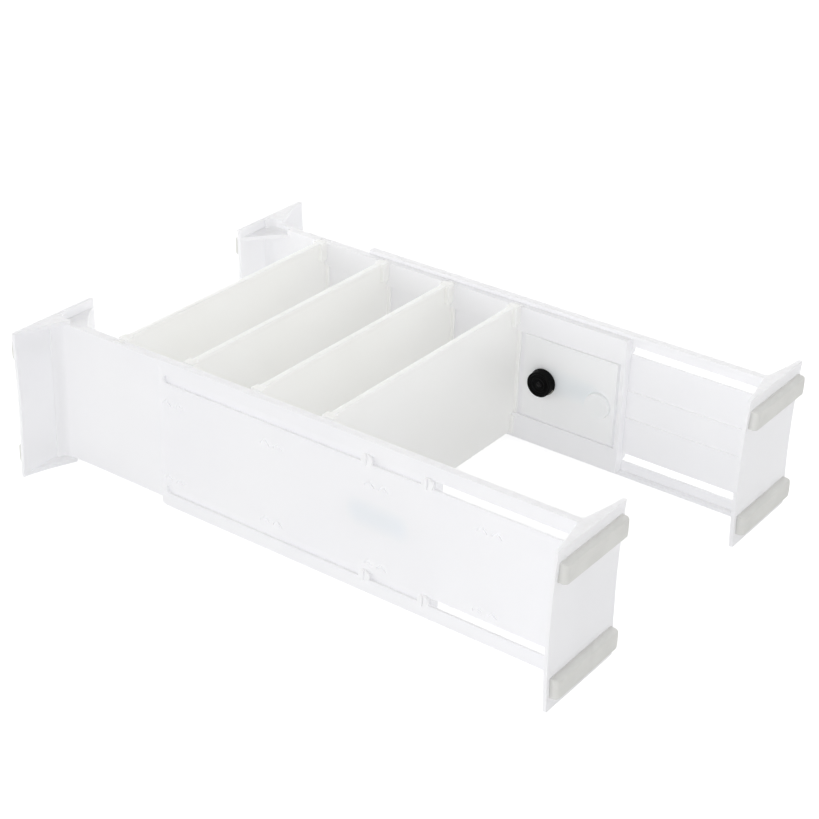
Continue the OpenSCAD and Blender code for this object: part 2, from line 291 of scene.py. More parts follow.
class EffectLibrary:
    """Builds each shared effect once, as a node group, and places it in materials."""

    def __init__(self) -> None:
        """Builds every effect."""
        makers = {
            Effect.SKIN: self._skin, Effect.EDGES: self._edges, Effect.FLOW: self._flow,
            Effect.SHOW_THROUGH: self._show_through, Effect.HANDLING: self._handling,
            Effect.DUST: self._dust, Effect.GRAIN: self._grain, Effect.TURNING: self._turning,
        }
        self.groups: dict[Effect, bpy.types.NodeTree] = {}
        for effect, maker in makers.items():
            tree = bpy.data.node_groups.new(effect.value, "ShaderNodeTree")
            maker(tree)
            self.groups[effect] = tree

    def place(self, sketch: Sketch, effect: Effect, **inputs: object) -> bpy.types.Node:
        """Puts an effect into a material with its own values.

        Args:
            sketch: The material's sketch.
            effect: Which effect.
            inputs: Values or sockets for the group's inputs.

        Returns:
            The group node.
        """
        node = sketch.add("ShaderNodeGroup")
        node.node_tree = self.groups[effect]
        return sketch.feed(node, **inputs)

    @staticmethod
    def _sockets(tree: bpy.types.NodeTree, inputs: Sequence[tuple[str, str, object]],
                 outputs: Sequence[tuple[str, str]]) -> tuple[Sketch, bpy.types.Node, bpy.types.Node]:
        """Declares a group's sockets.

        Args:
            tree: The group.
            inputs: Name, kind and default of each input.
            outputs: Name and kind of each output.

        Returns:
            A sketch of the group, its input node and its output node.
        """
        for name, kind, default in inputs:
            socket = tree.interface.new_socket(name, in_out="INPUT", socket_type=f"NodeSocket{kind}")
            socket.default_value = default
        for name, kind in outputs:
            tree.interface.new_socket(name, in_out="OUTPUT", socket_type=f"NodeSocket{kind}")
        sketch = Sketch(tree)
        return sketch, sketch.add("NodeGroupInput"), sketch.add("NodeGroupOutput")

    def _skin(self, tree: bpy.types.NodeTree) -> None:
        """Cloudy colour, uneven gloss and a fine height, as on a moulded face."""
        sketch, given, made = self._sockets(
            tree,
            [("Vector", "Vector", (0, 0, 0)), ("Colour", "Color", (1, 1, 1, 1)),
             ("Cloud Colour", "Color", (1, 1, 1, 1)), ("Cloud Scale", "Float", 20.0),
             ("Roughness", "Float", 0.4), ("Roughness Spread", "Float", 0.1),
             ("Grain Scale", "Float", 2500.0)],
            [("Colour", "Color"), ("Roughness", "Float"), ("Height", "Float")])
        cloud = sketch.noise(given.outputs["Vector"], given.outputs["Cloud Scale"], 3.0)
        share = sketch.remap(cloud, 0.35, 0.68)
        colour = sketch.blend(share, given.outputs["Colour"], given.outputs["Cloud Colour"])
        finer = sketch.maths("MULTIPLY", given.outputs["Cloud Scale"], 4.0)
        patches = sketch.noise(given.outputs["Vector"], finer, 4.0)
        swing = sketch.maths("SUBTRACT", patches, 0.5)
        spread = sketch.maths("MULTIPLY", swing, given.outputs["Roughness Spread"])
        rough = sketch.maths("ADD", given.outputs["Roughness"], spread)
        grain = sketch.noise(given.outputs["Vector"], given.outputs["Grain Scale"], 2.0)
        sketch.join(colour, made.inputs["Colour"])
        sketch.join(rough, made.inputs["Roughness"])
        sketch.join(grain, made.inputs["Height"])

    def _edges(self, tree: bpy.types.NodeTree) -> None:
        """A mask of convex and concave edges, from the way a rounded normal turns there."""
        sketch, given, made = self._sockets(
            tree, [("Radius", "Float", 0.0005), ("Strength", "Float", 1.0)], [("Mask", "Float")])
        bevel = sketch.add("ShaderNodeBevel", samples=4)
        sketch.join(given.outputs["Radius"], bevel.inputs["Radius"])
        geometry = sketch.add("ShaderNodeNewGeometry")
        dot = sketch.add("ShaderNodeVectorMath", operation="DOT_PRODUCT")
        sketch.join(bevel.outputs["Normal"], dot.inputs[0])
        sketch.join(geometry.outputs["Normal"], dot.inputs[1])
        turned = sketch.maths("SUBTRACT", 1.0, dot.outputs["Value"])
        mask = sketch.remap(turned, 0.01, 0.12)
        strength = sketch.maths("MULTIPLY", mask, given.outputs["Strength"])
        sketch.join(strength, made.inputs["Mask"])

    def _flow(self, tree: bpy.types.NodeTree) -> None:
        """Faint streaks along X, where the plastic ran through the mould."""
        sketch, given, made = self._sockets(
            tree, [("Vector", "Vector", (0, 0, 0)), ("Scale", "Float", 60.0)], [("Height", "Float")])
        along = sketch.stretched(given.outputs["Vector"], (0.12, 1.0, 1.0))
        streaks = sketch.noise(along, given.outputs["Scale"], 3.0)
        sketch.join(streaks, made.inputs["Height"])

    def _show_through(self, tree: bpy.types.NodeTree) -> None:
        """A soft-edged box mask, for painted shade where a mechanism lies close behind a thin wall."""
        sketch, given, made = self._sockets(
            tree,
            [("Vector", "Vector", (0, 0, 0)), ("Centre", "Vector", (0, 0, 0)),
             ("Half Width", "Float", 0.01), ("Half Height", "Float", 0.01), ("Softness", "Float", 0.005)],
            [("Mask", "Float")])
        offset = sketch.add("ShaderNodeVectorMath", operation="SUBTRACT")
        sketch.join(given.outputs["Vector"], offset.inputs[0])
        sketch.join(given.outputs["Centre"], offset.inputs[1])
        parts = sketch.add("ShaderNodeSeparateXYZ")
        sketch.join(offset.outputs[0], parts.inputs[0])
        masks = []
        for axis, extent in (("X", "Half Width"), ("Z", "Half Height")):
            away = sketch.maths("ABSOLUTE", parts.outputs[axis])
            past = sketch.maths("SUBTRACT", away, given.outputs[extent])
            share = sketch.maths("DIVIDE", past, given.outputs["Softness"])
            masks.append(sketch.remap(share, -1.0, 1.0, 1.0, 0.0))
        sketch.join(sketch.maths("MULTIPLY", masks[0], masks[1]), made.inputs["Mask"])

    def _handling(self, tree: bpy.types.NodeTree) -> None:
        """Sparse fine scuffs, as sliding in a drawer leaves them."""
        sketch, given, made = self._sockets(
            tree, [("Vector", "Vector", (0, 0, 0)), ("Scale", "Float", 90.0), ("Amount", "Float", 0.5)],
            [("Mask", "Float")])
        slanted = sketch.stretched(given.outputs["Vector"], (0.25, 1.0, 2.2))
        scuffs = sketch.noise(slanted, given.outputs["Scale"], 5.0)
        lines = sketch.remap(scuffs, 0.62, 0.72)
        patches = sketch.remap(sketch.noise(given.outputs["Vector"], 14.0, 1.0), 0.45, 0.62)
        both = sketch.maths("MULTIPLY", lines, patches)
        sketch.join(sketch.maths("MULTIPLY", both, given.outputs["Amount"]), made.inputs["Mask"])

    def _dust(self, tree: bpy.types.NodeTree) -> None:
        """A mask of faces that look up, broken by noise: painted shade with a light dusting."""
        sketch, given, made = self._sockets(
            tree, [("Vector", "Vector", (0, 0, 0)), ("Amount", "Float", 0.3)], [("Mask", "Float")])
        geometry = sketch.add("ShaderNodeNewGeometry")
        parts = sketch.add("ShaderNodeSeparateXYZ")
        sketch.join(geometry.outputs["Normal"], parts.inputs[0])
        upward = sketch.remap(parts.outputs["Z"], 0.6, 0.98)
        uneven = sketch.remap(sketch.noise(given.outputs["Vector"], 220.0, 4.0), 0.2, 0.75)
        both = sketch.maths("MULTIPLY", upward, uneven)
        sketch.join(sketch.maths("MULTIPLY", both, given.outputs["Amount"]), made.inputs["Mask"])

    def _grain(self, tree: bpy.types.NodeTree) -> None:
        """Pebbled height and specks, as on rubber or spark-finished plastic."""
        sketch, given, made = self._sockets(
            tree, [("Vector", "Vector", (0, 0, 0)), ("Scale", "Float", 1500.0)],
            [("Height", "Float"), ("Specks", "Float")])
        cells = sketch.add("ShaderNodeTexVoronoi", feature="SMOOTH_F1")
        sketch.feed(cells, Vector=given.outputs["Vector"], Scale=given.outputs["Scale"], Smoothness=0.6)
        finer = sketch.maths("MULTIPLY", given.outputs["Scale"], 2.3)
        rough = sketch.noise(given.outputs["Vector"], finer, 2.0)
        sketch.join(sketch.maths("ADD", cells.outputs["Distance"], rough), made.inputs["Height"])
        sketch.join(sketch.remap(rough, 0.5, 0.75), made.inputs["Specks"])

    def _turning(self, tree: bpy.types.NodeTree) -> None:
        """Rings round an axis along Y, as a turned or drawn part shows."""
        sketch, given, made = self._sockets(
            tree,
            [("Vector", "Vector", (0, 0, 0)), ("Centre", "Vector", (0, 0, 0)),
             ("Scale", "Float", 1800.0)],
            [("Height", "Float")])
        offset = sketch.add("ShaderNodeVectorMath", operation="SUBTRACT")
        sketch.join(given.outputs["Vector"], offset.inputs[0])
        sketch.join(given.outputs["Centre"], offset.inputs[1])
        flat = sketch.stretched(offset.outputs[0], (1.0, 0.0, 1.0))
        rings = sketch.add("ShaderNodeTexWave", wave_type="RINGS", rings_direction="SPHERICAL")
        sketch.feed(rings, Vector=flat, Scale=given.outputs["Scale"], Distortion=1.2, Detail=2.0)
        sketch.join(rings.outputs["Fac"], made.inputs["Height"])


@dataclass(frozen=True)
class Patch:
    """A place where a mechanism's shadow behind a thin wall is painted on as a faint tinted shade, fixed to
    the frame body.
    """

    centre: Point
    half_width: float
    half_height: float
    softness: float
    # colour of the painted shade
    tint: Colour
    strength: float


@dataclass(frozen=True)
class WhitePlastic:
    """White injection-moulded plastic: satin, faintly cloudy, with streaks and scuffs; its paler edges are a
    painted highlight with some wear, faces that look up carry dusty painted shade, and mechanisms behind
    thin walls show as painted shade.

    Its glow stands for light that scatters through thin translucent walls.
    """

    name: str
    colour: Colour
    cloud: Colour
    # paler colour at edges: a painted highlight, with some wear
    edge: Colour
    # darker colour on faces that look up: painted shade, with a light dusting
    dust: Colour = (0.66, 0.65, 0.62)
    roughness: float = 0.42
    spread: float = 0.12
    cloud_scale: float = 16.0
    flow_height: float = 0.00004
    grain_height: float = 0.000006
    scuffs: float = 0.35
    dust_amount: float = 0.25
    specular: float = 0.4
    subsurface: float = 0.35
    scatter_depth: float = 2.0 * MM
    glow: float = 0.13
    # painted shade over mechanisms behind the wall
    patches: tuple[Patch, ...] = ()

    def material(self, effects: EffectLibrary) -> bpy.types.Material:
        """Builds the material.

        Args:
            effects: The shared effects.

        Returns:
            The material, ready to assign.
        """
        paint, sketch, shader = new_material(self.name)
        place = sketch.add("ShaderNodeTexCoord").outputs["Object"]
        skin = effects.place(
            sketch, Effect.SKIN, Vector=place, Colour=rgba(self.colour), Cloud_Colour=rgba(self.cloud),
            Cloud_Scale=self.cloud_scale, Roughness=self.roughness, Roughness_Spread=self.spread)
        edges = effects.place(sketch, Effect.EDGES, Radius=0.5 * MM, Strength=0.6)
        dust = effects.place(sketch, Effect.DUST, Vector=place, Amount=self.dust_amount)
        scuffs = effects.place(sketch, Effect.HANDLING, Vector=place, Amount=self.scuffs)
        flow = effects.place(sketch, Effect.FLOW, Vector=place)
        # paler edges: a painted highlight, with some wear
        colour = sketch.blend(edges.outputs["Mask"], skin.outputs["Colour"], rgba(self.edge))
        # faces that look up darkened: painted shade, with a light dusting
        colour = sketch.blend(dust.outputs["Mask"], colour, rgba(self.dust))
        # painted shade where the lock mechanism lies behind the wall
        for patch in self.patches:
            colour = self._patch(effects, sketch, patch, colour)
        rough = sketch.maths("ADD", skin.outputs["Roughness"],
                             sketch.maths("MULTIPLY", scuffs.outputs["Mask"], 0.3))
        streaks = sketch.add("ShaderNodeBump")
        sketch.feed(streaks, Height=flow.outputs["Height"], Strength=1.0, Distance=self.flow_height)
        grain = sketch.add("ShaderNodeBump")
        sketch.feed(grain, Height=skin.outputs["Height"], Strength=1.0, Distance=self.grain_height,
                    Normal=streaks.outputs["Normal"])
        sketch.feed(shader, Base_Color=colour, Roughness=rough, Normal=grain.outputs["Normal"],
                    Specular_IOR_Level=self.specular, Subsurface_Weight=self.subsurface,
                    Subsurface_Radius=(1.0, 1.0, 1.0), Subsurface_Scale=self.scatter_depth, IOR=1.48,
                    Emission_Color=colour, Emission_Strength=self.glow)
        return paint

    @staticmethod
    def _patch(effects: EffectLibrary, sketch: Sketch, patch: Patch,
               colour: bpy.types.NodeSocket) -> bpy.types.NodeSocket:
        """Paints shade: tints a colour where a mechanism lies behind the wall.

        Args:
            effects: The shared effects.
            sketch: The material's sketch.
            patch: Where and how strongly the painted shade shows.
            colour: The colour so far.

        Returns:
            The tinted colour.
        """
        fixed = sketch.add("ShaderNodeTexCoord", object=frame["bodies"]["frame"])
        shown = effects.place(
            sketch, Effect.SHOW_THROUGH, Vector=fixed.outputs["Object"], Centre=patch.centre,
            Half_Width=patch.half_width, Half_Height=patch.half_height, Softness=patch.softness)
        share = sketch.maths("MULTIPLY", shown.outputs["Mask"], patch.strength)
        return sketch.blend(share, colour, rgba(patch.tint))


@dataclass(frozen=True)
class GrainedPlastic:
    """Opaque plastic or rubber with a pebbled surface."""

    name: str
    colour: Colour
    speck: Colour
    # paler colour at edges: a painted highlight, with some wear
    edge: Colour
    roughness: float
    grain_scale: float = 1500.0
    grain_height: float = 0.00003
    specular: float = 0.4
    sheen: float = 0.0

    def material(self, effects: EffectLibrary) -> bpy.types.Material:
        """Builds the material.

        Args:
            effects: The shared effects.

        Returns:
            The material, ready to assign.
        """
        paint, sketch, shader = new_material(self.name)
        place = sketch.add("ShaderNodeTexCoord").outputs["Object"]
        skin = effects.place(
            sketch, Effect.SKIN, Vector=place, Colour=rgba(self.colour), Cloud_Colour=rgba(self.speck),
            Cloud_Scale=60.0, Roughness=self.roughness, Roughness_Spread=0.12)
        pebbles = effects.place(sketch, Effect.GRAIN, Vector=place, Scale=self.grain_scale)
        edges = effects.place(sketch, Effect.EDGES, Radius=0.4 * MM, Strength=0.5)
        # paler edges: a painted highlight, with some wear
        colour = sketch.blend(edges.outputs["Mask"], skin.outputs["Colour"], rgba(self.edge))
        specks = sketch.maths("MULTIPLY", pebbles.outputs["Specks"], 0.35)
        colour = sketch.blend(specks, colour, rgba(self.speck))
        bump = sketch.add("ShaderNodeBump")
        sketch.feed(bump, Height=pebbles.outputs["Height"], Strength=0.6, Distance=self.grain_height)
        sketch.feed(shader, Base_Color=colour, Roughness=skin.outputs["Roughness"],
                    Normal=bump.outputs["Normal"], Specular_IOR_Level=self.specular,
                    Sheen_Weight=self.sheen, Sheen_Roughness=0.5)
        return paint


@dataclass(frozen=True)
class TurnedSteel:
    """Steel with rings from turning or drawing, and a duller stain in places."""

    name: str
    colour: Colour
    stain: Colour
    roughness: float
    centre: Point = (0.0, 0.0, 0.0)

    def material(self, effects: EffectLibrary) -> bpy.types.Material:
        """Builds the material.

        Args:
            effects: The shared effects.

        Returns:
            The material, ready to assign.
        """
        paint, sketch, shader = new_material(self.name)
        place = sketch.add("ShaderNodeTexCoord").outputs["Object"]
        skin = effects.place(
            sketch, Effect.SKIN, Vector=place, Colour=rgba(self.colour), Cloud_Colour=rgba(self.stain),
            Cloud_Scale=300.0, Roughness=self.roughness, Roughness_Spread=0.2)
        rings = effects.place(sketch, Effect.TURNING, Vector=place, Centre=self.centre)
        bump = sketch.add("ShaderNodeBump")
        sketch.feed(bump, Height=rings.outputs["Height"], Strength=0.5, Distance=0.02 * MM)
        sketch.feed(shader, Base_Color=skin.outputs["Colour"], Roughness=skin.outputs["Roughness"],
                    Normal=bump.outputs["Normal"], Metallic=1.0)
        return paint


def new_material(name: str) -> tuple[bpy.types.Material, Sketch, bpy.types.Node]:
    """Starts a material with a Principled shader.

    Args:
        name: The material's name.

    Returns:
        The material, a sketch of its tree and its Principled node.
    """
    paint = bpy.data.materials.new(name)
    paint.use_nodes = True
    paint.node_tree.nodes.clear()
    sketch = Sketch(paint.node_tree)
    shader = sketch.add("ShaderNodeBsdfPrincipled")
    output = sketch.add("ShaderNodeOutputMaterial")
    sketch.join(shader.outputs["BSDF"], output.inputs["Surface"])
    return paint, sketch, shader


@dataclass(frozen=True)
class Rounding:
    """How the edges of a moulded piece are rounded."""

    width: float
    segments: int = 2
    angle: float = math.radians(34)

    def apply(self, piece: bpy.types.Object) -> None:
        """Adds the modifiers that round a piece's edges and smooth its shading.

        Args:
            piece: The piece to round.
        """
        weld = piece.modifiers.new("weld", "WELD")
        weld.merge_threshold = 0.01 * MM
        merge = piece.modifiers.new("merge_flats", "DECIMATE")
        merge.decimate_type = "DISSOLVE"
        merge.angle_limit = math.radians(0.5)
        bevel = piece.modifiers.new("round_edges", "BEVEL")
        bevel.width = self.width
        bevel.segments = self.segments
        bevel.limit_method = "ANGLE"
        bevel.angle_limit = self.angle
        bevel.use_clamp_overlap = False
        bevel.loop_slide = False
        bevel.miter_outer = "MITER_PATCH"
        normals = piece.modifiers.new("even_shading", "WEIGHTED_NORMAL")
        normals.keep_sharp = False


def dress(piece: bpy.types.Object, paint: bpy.types.Material) -> None:
    """Gives every material slot of a piece one material.

    Args:
        piece: The piece.
        paint: Its material.
    """
    if not piece.material_slots:
        piece.data.materials.append(paint)
    for slot in piece.material_slots:
        slot.material = paint


def build_mesh(name: str, points: Sequence[Point], faces: Iterable[Sequence[int]],
               smooth: bool = True) -> bpy.types.Object:
    """Makes a mesh object whose points are in the object's frame.

    Args:
        name: The piece's name.
        points: Its vertices.
        faces: Vertex numbers of each face.
        smooth: Whether its faces are shaded smooth.

    Returns:
        The new object, linked to the scene.
    """
    mesh = bpy.data.meshes.new(name)
    mesh.from_pydata(points, [], list(faces))
    mesh.polygons.foreach_set("use_smooth", [smooth] * len(mesh.polygons))
    mesh.update()
    piece = bpy.data.objects.new(name, mesh)
    bpy.context.scene.collection.objects.link(piece)
    return piece


def lathe(name: str, profile: Sequence[tuple[float, float]], centre: Vector, way: int,
          segments: int = 96) -> bpy.types.Object:
    """Turns a profile round an axis along Y.

    Args:
        name: The piece's name.
        profile: Radius and height of each point, from the axis at the back to the axis at the face.
        centre: Where the profile's zero height lies on the axis.
        way: 1 if heights run towards +Y, or -1.
        segments: Steps round the axis.

    Returns:
        The new closed piece.
    """
    inner = profile[1:-1]
    points = [(centre.x, centre.y + way * profile[0][1], centre.z)]
    for radius, height in inner:
        for step in range(segments):
            turn = 2 * math.pi * step / segments
            points.append((centre.x + radius * math.cos(turn), centre.y + way * height,
                           centre.z + radius * math.sin(turn)))
    points.append((centre.x, centre.y + way * profile[-1][1], centre.z))
    last = len(points) - 1
    faces: list[tuple[int, ...]] = []
    for step in range(segments):
        following = (step + 1) % segments
        faces.append((0, 1 + step, 1 + following))
        for ring in range(len(inner) - 1):
            near = 1 + ring * segments
            far = near + segments
            faces.append((near + step, far + step, far + following, near + following))
        near = 1 + (len(inner) - 1) * segments
        faces.append((near + step, last, near + following))
    if way > 0:
        faces = [tuple(reversed(face)) for face in faces]
    return build_mesh(name, points, faces)


def arc(centre: tuple[float, float], radius: float, start: float, stop: float,
        steps: int = 5) -> list[tuple[float, float]]:
    """Points of an arc in a profile.

    Args:
        centre: The arc's centre.
        radius: Its radius.
        start: Its first angle in degrees.
        stop: Its last angle in degrees.
        steps: Steps along it.

    Returns:
        The points, ends included.
    """
    angles = [math.radians(start + (stop - start) * i / steps) for i in range(steps + 1)]
    return [(centre[0] + radius * math.cos(a), centre[1] + radius * math.sin(a)) for a in angles]


@dataclass
class GripPad:
    """A soft pad on an end plate: a strip with a crowned face and rounded edges."""

    side: Side
    end: End
    level: Level
    end_radius: float = 2.2 * MM
    edge_radius: float = 1.0 * MM
    crown: float = 0.25 * MM
    edge_steps: int = 5
    span_steps: int = 18

    @property
    def node(self) -> str:
        """The CAD node that the pad stands for."""
        return f"{self.side.label}_{self.end.label}_{self.level.label}_grip"

    def _stations(self, low: float, high: float, radius: float, steps: int) -> list[float]:
        """Places across the pad, close together where its edges round over.

        Args:
            low: One side.
            high: The other side.
            radius: The rounding at both sides.
            steps: Steps over the flat stretch.

        Returns:
            The places in order.
        """
        turns = [math.radians(90 * i / self.edge_steps) for i in range(self.edge_steps + 1)]
        near = [low + radius * (1 - math.sin(math.pi / 2 - turn)) for turn in turns]
        flat = [low + radius + (high - low - 2 * radius) * i / steps for i in range(1, steps)]
        return near + flat + [low + high - place for place in reversed(near)]

    def _drop(self, place: float, low: float, high: float, radius: float) -> float:
        """How far a rounded edge falls behind the face at a place."""
        into = max(radius - (place - low), radius - (high - place), 0.0)
        return radius - math.sqrt(max(radius * radius - into * into, 0.0))

    def build(self, paint: bpy.types.Material, body: str) -> bpy.types.Object:
        """Builds the pad where its CAD solid lies.

        Args:
            paint: The pad's material.
            body: The body that it rides on.

        Returns:
            The new piece.
        """
        low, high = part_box(self.node)
        face = high.x if self.end is End.RIGHT else low.x
        back = low.x if self.end is End.RIGHT else high.x
        sign = self.end.value
        across = self._stations(low.y, high.y, self.end_radius, self.span_steps)
        up = self._stations(low.z, high.z, self.edge_radius, 4)
        points: list[Point] = []
        for y in across:
            for z in up:
                fall = self._drop(y, low.y, high.y, self.end_radius)
                fall += self._drop(z, low.z, high.z, self.edge_radius)
                bulge = 1 - ((z - (low.z + high.z) / 2) / ((high.z - low.z) / 2)) ** 2
                points.append((face - sign * (fall + self.crown * (1 - bulge)), y, z))
        front_count = len(points)
        rows, columns = len(across), len(up)
        rim = [i * columns for i in range(rows)]
        rim += [(rows - 1) * columns + j for j in range(1, columns)]
        rim += [i * columns + columns - 1 for i in range(rows - 2, -1, -1)]
        rim += list(range(columns - 2, 0, -1))
        points += [(back, points[i][1], points[i][2]) for i in rim]
        faces = [
            (i * columns + j, (i + 1) * columns + j, (i + 1) * columns + j + 1, i * columns + j + 1)
            for i in range(rows - 1) for j in range(columns - 1)]
        for k, corner in enumerate(rim):
            after = (k + 1) % len(rim)
            faces.append((rim[after], corner, front_count + k, front_count + after))
        faces.append(tuple(front_count + k for k in reversed(range(len(rim)))))
        if sign < 0:
            faces = [tuple(reversed(one)) for one in faces]
        pad = build_mesh(f"{self.node}_pad", points, faces)
        dress(pad, paint)
        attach(pad, body)
        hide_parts(self.node)
        return pad


@dataclass
class LockKnob:
    """The round knob: a flange, a barrel with a rolled rim, and a raised ring round its screw."""

    side: Side
    barrel_share: float = 0.94
    flange_height: float = 1.3 * MM
    edge: float = 0.5 * MM
    dish: float = 0.9 * MM
    ring_radius: float = 4.6 * MM
    ring_half_width: float = 0.7 * MM
    screw_well_radius: float = 1.8 * MM
    screw_well_depth: float = 1.6 * MM
    # where and how wide the pale sliver on the flange lies: a painted glint
    index_half_angle: float = 17.0
    index_turn: float = -38.0

    def _profile(self, radius: float, height: float) -> list[tuple[float, float]]:
        """The knob's outline from the axis at the back round to the axis at the face.

        Args:
            radius: The flange's radius.
            height: The knob's height.

        Returns:
            Radius and height of each point.
        """
        barrel = radius * self.barrel_share
        edge = self.edge
        floor = height - self.dish
        inner = barrel - 1.5 * MM
        outline = [(0.0, 0.0), (radius - edge, 0.0)]
        outline += arc((radius - edge, edge), edge, -90, 0)
        outline += arc((radius - edge, self.flange_height - edge), edge, 0, 90)
        outline += [(barrel, self.flange_height + 0.05 * MM)]
        outline += arc((barrel - edge, height - edge), edge, 0, 90)
        outline += arc((inner + edge, height - edge), edge, 90, 180)
        outline += arc((inner - edge, floor + edge), edge, 0, -90)
        ring = self.ring_radius
        half = self.ring_half_width
        outline += [(ring + 2 * half, floor)]
        outline += arc((ring, floor), half, 0, 180, 8)
        outline += [(ring - 2 * half, floor), (self.screw_well_radius + edge, floor)]
        outline += arc((self.screw_well_radius + edge / 2, floor - edge / 2), edge / 2, 90, 180)
        outline += [(self.screw_well_radius, height - self.screw_well_depth)]
        outline += [(0.0, height - self.screw_well_depth)]
        return outline

    def build(self, paint: bpy.types.Material, glint_paint: bpy.types.Material) -> list[bpy.types.Object]:
        """Builds the knob and the pale sliver on its flange, which is a painted glint.

        Args:
            paint: The knob's material.
            glint_paint: The material of the painted glint.

        Returns:
            The new pieces.
        """
        node = f"{self.side.label}_lock_knob"
        low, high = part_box(node)
        way = self.side.value
        radius = (high.x - low.x) / 2
        height = high.y - low.y
        centre = Vector(((low.x + high.x) / 2, low.y if way > 0 else high.y, (low.z + high.z) / 2))
        knob = lathe(f"{node}_body", self._profile(radius, height), centre, way)
        dress(knob, paint)
        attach(knob, f"{self.side.label}_knob")
        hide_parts(node)
        return [knob, self._index(centre, radius, way, glint_paint)]

    def _index(self, centre: Vector, radius: float, way: int, glint_paint: bpy.types.Material) -> bpy.types.Object:
        """Builds a pale sliver let into the flange's edge: a painted glint where light would catch the
        flange's rounded edge, which turns with the knob.
        """
        lip = 0.06 * MM
        section = [
            (radius - 1.2 * MM, self.flange_height + lip), (radius - 0.4 * MM, self.flange_height + lip),
            (radius + lip, self.flange_height - 0.4 * MM), (radius + lip, 0.35 * MM),
            (radius - 1.2 * MM, 0.35 * MM)]
        steps = 12
        points: list[Point] = []
        for step in range(steps + 1):
            turn = math.radians(self.index_turn + self.index_half_angle * (2 * step / steps - 1))
            for out, rise in section:
                points.append((centre.x + out * math.cos(turn), centre.y + way * rise,
                               centre.z + out * math.sin(turn)))
        count = len(section)
        faces = [
            (a * count + b, a * count + (b + 1) % count,
             (a + 1) * count + (b + 1) % count, (a + 1) * count + b)
            for a in range(steps) for b in range(count)]
        faces += [tuple(reversed(range(count))), tuple(steps * count + b for b in range(count))]
        if way < 0:
            faces = [tuple(reversed(one)) for one in faces]
        # pale sliver standing for a glint on the flange: a painted highlight
        piece = build_mesh(f"{self.side.label}_knob_index_mark", points, faces, smooth=False)
        dress(piece, glint_paint)
        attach(piece, f"{self.side.label}_knob")
        return piece


@dataclass
class ButtonSpring:
    """The push button's coil spring, of round wire with closed ends."""

    side: Side
    wire: float = 0.32 * MM
    turns: float = 4.0
    steps: int = 192
    ring_sides: int = 10
    keep: float = 0.85

    def build(self, paint: bpy.types.Material) -> bpy.types.Object:
        """Builds the coil between the sliding panel and the button.

        Args:
            paint: The wire's material.

        Returns:
            The new piece.
        """
        node = f"{self.side.label}_button_spring"
        low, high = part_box(node)
        centre = (low + high) / 2
        radius = (high.x - low.x) / 2 - self.wire
        start = low.y + self.wire
        rise = high.y - low.y - 2 * self.wire
        path: list[Vector] = []
        for step in range(self.steps + 1):
            share = step / self.steps
            turn = 2 * math.pi * self.turns * share
            eased = min(max((share - 0.12) / 0.76, 0.0), 1.0)
            path.append(Vector((centre.x + radius * math.cos(turn), start + rise * eased,
                                centre.z + radius * math.sin(turn))))
        coil = sweep(f"{node}_coil", path, self.wire, self.ring_sides)
        dress(coil, paint)
        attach(coil, "frame")
        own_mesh(coil)
        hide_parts(node)
        return coil


def sweep(name: str, path: Sequence[Vector], radius: float, sides: int) -> bpy.types.Object:
    """Sweeps a round section along a path.

    Args:
        name: The piece's name.
        path: The centre line.
        radius: The section's radius.
        sides: Points round the section.

    Returns:
        The new closed tube.
    """
    points: list[Point] = []
    for index, place in enumerate(path):
        ahead = path[min(index + 1, len(path) - 1)] - path[max(index - 1, 0)]
        across = ahead.cross(Vector((0, 1, 0))).normalized()
        over = across.cross(ahead).normalized()
        for side in range(sides):
            turn = 2 * math.pi * side / sides
            points.append(tuple(place + radius * (across * math.cos(turn) + over * math.sin(turn))))
    faces = [
        (a * sides + b, a * sides + (b + 1) % sides,
         (a + 1) * sides + (b + 1) % sides, (a + 1) * sides + b)
        for a in range(len(path) - 1) for b in range(sides)]
    faces.append(tuple(reversed(range(sides))))
    faces.append(tuple((len(path) - 1) * sides + b for b in range(sides)))
    return build_mesh(name, points, faces)


@dataclass
class LongDivider:
    """One telescoping divider: its panels, pads, studs and lock."""

    side: Side
    roundings: dict[str, Rounding] = field(default_factory=lambda: {
        "slotted_panel": Rounding(0.2 * MM), "sliding_panel": Rounding(0.2 * MM),
        "lock_cover": Rounding(0.35 * MM, 3), "release_button": Rounding(0.5 * MM, 3),
        "guide_studs": Rounding(0.25 * MM), "lock_spindle": Rounding(0.15 * MM),
        "upper_brake_shoe": Rounding(0.2 * MM), "lower_brake_shoe": Rounding(0.2 * MM),
        "knob_screw": Rounding(0.08 * MM)})

    def build(self, paints: dict[str, bpy.types.Material]) -> None:
        """Dresses the CAD nodes and builds the pieces that replace some of them.

        Args:
            paints: Materials by the record's slot names, and the painted glint's.
        """
        slots = {row["node"]: row["material_slot"] for row in frame["record"]["subparts"]}
        for part, rounding in self.roundings.items():
            node = f"{self.side.label}_{part}"
            piece = frame["nodes"][node]
            dress(piece, paints[slots[node]])
            rounding.apply(piece)
            LOG.info("dressed %s with %s", node, slots[node])
        for end, body in ((End.LEFT, "frame"), (End.RIGHT, f"{self.side.label}_extension")):
            for level in Level:
                pad = GripPad(self.side, end, level).build(paints["grip_rubber"], body)
                LOG.info("built %s", pad.name)
        for piece in LockKnob(self.side).build(paints["knob_plastic"], paints["painted_glint"]):
            LOG.info("built %s", piece.name)
        LOG.info("built %s", ButtonSpring(self.side).build(paints["spring_steel"]).name)


@dataclass
class CrossDividers:
    """The four lift-out cross dividers."""

    count: int = 4
    rounding: Rounding = Rounding(0.45 * MM, 3)

    def build(self, paint: bpy.types.Material) -> None:
        """Dresses each cross divider.

        Args:
            paint: Their material.
        """
        for number in range(1, self.count + 1):
            piece = frame["nodes"][f"cross_divider_{number}"]
            dress(piece, paint)
            self.rounding.apply(piece)
            LOG.info("dressed %s", piece.name)


